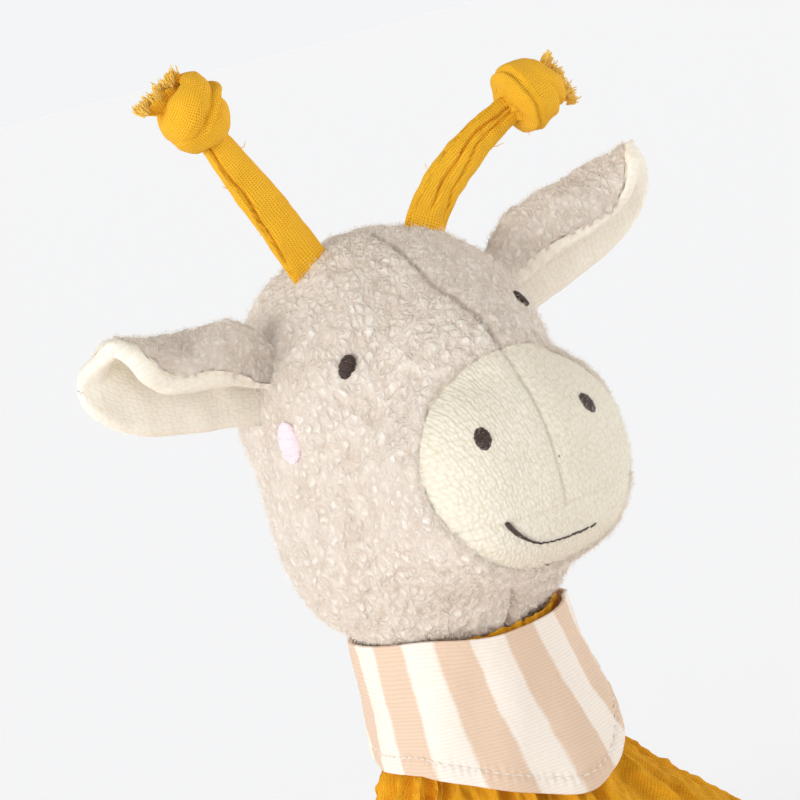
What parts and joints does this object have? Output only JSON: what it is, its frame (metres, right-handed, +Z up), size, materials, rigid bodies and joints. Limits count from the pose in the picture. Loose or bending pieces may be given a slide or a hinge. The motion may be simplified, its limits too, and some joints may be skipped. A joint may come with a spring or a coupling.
{
  "type": "comfort blanket lovey",
  "caption": "Stuffed calf head with knotted cloth horns on the gathered middle of a square muslin cloth, with a striped neckerchief.",
  "frame": {"origin": "middle of the cloth's footprint on the floor", "axes": "+Z up through the neck, the face looks along -Y, the toy's left is +X"},
  "size_m": [0.2047, 0.2081, 0.2389],
  "materials": {
    "fleece": "boucle fleece",
    "velour": "rib-knit velour",
    "gauze": "crinkled double gauze",
    "thread": "satin stitch",
    "patch": "brushed knit",
    "jersey": "striped fine-rib jersey",
    "stuffing": "fibre fill"
  },
  "bodies": {
    "blanket": {"blanket": "gauze", "blanket_hem": "gauze"},
    "neckerchief": {"neckerchief": "jersey", "neckerchief_tie": "jersey"},
    "neck": {"neck_gather": "gauze", "neck_stem": "stuffing"},
    "head": {"head_panel_right": "fleece", "head_panel_left": "fleece", "muzzle_panel_right": "velour", "muzzle_panel_left": "velour", "muzzle_chin_panel": "velour", "head_stuffing": "stuffing", "muzzle_stuffing": "stuffing", "eye_right": "thread", "eye_left": "thread", "nostril_right": "thread", "nostril_left": "thread", "cheek_patch_right": "patch", "cheek_patch_left": "patch", "mouth": "thread"},
    "ear_right": {"ear_outer_right": "fleece", "ear_inner_right": "velour"},
    "ear_left": {"ear_outer_left": "fleece", "ear_inner_left": "velour"},
    "horn_right": {"horn_strip_right": "gauze", "horn_knot_right": "gauze", "horn_fray_right": "gauze"},
    "horn_left": {"horn_strip_left": "gauze", "horn_knot_left": "gauze", "horn_fray_left": "gauze"}
  },
  "joints": [
    {"name": "neckerchief_turn", "type": "hinge", "parent": "blanket", "child": "neckerchief", "pos_m": [0, 0, 0.09], "axis": [0, 0, 1], "range_deg": [-20, 20]},
    {"name": "head_turn", "type": "hinge", "parent": "blanket", "child": "neck", "pos_m": [0, 0, 0.105], "axis": [0, 0, 1], "range_deg": [-35, 35], "stiffness_Nm_per_rad": 0.06},
    {"name": "head_nod", "type": "hinge", "parent": "neck", "child": "head", "pos_m": [0, 0, 0.134], "axis": [1, 0, 0], "range_deg": [-12, 15], "stiffness_Nm_per_rad": 0.25},
    {"name": "ear_right_fold", "type": "hinge", "parent": "head", "child": "ear_right", "pos_m": [-0.03366, -0.001, 0.17159], "axis": [0.3425, 0, 0.9395], "range_deg": [-25, 15], "stiffness_Nm_per_rad": 0.02},
    {"name": "ear_left_fold", "type": "hinge", "parent": "head", "child": "ear_left", "pos_m": [0.0321, -0.001, 0.17539], "axis": [-0.4544, 0, 0.8908], "range_deg": [-15, 25], "stiffness_Nm_per_rad": 0.02},
    {"name": "horn_right_bend", "type": "hinge", "parent": "head", "child": "horn_right", "pos_m": [-0.01592, -0.0042, 0.19341], "axis": [0.9049, 0, 0.4256], "range_deg": [-30, 30], "stiffness_Nm_per_rad": 0.03},
    {"name": "horn_left_bend", "type": "hinge", "parent": "head", "child": "horn_left", "pos_m": [0.01592, -0.0042, 0.19341], "axis": [0.8405, 0, -0.5418], "range_deg": [-30, 30], "stiffness_Nm_per_rad": 0.03}
  ]
}
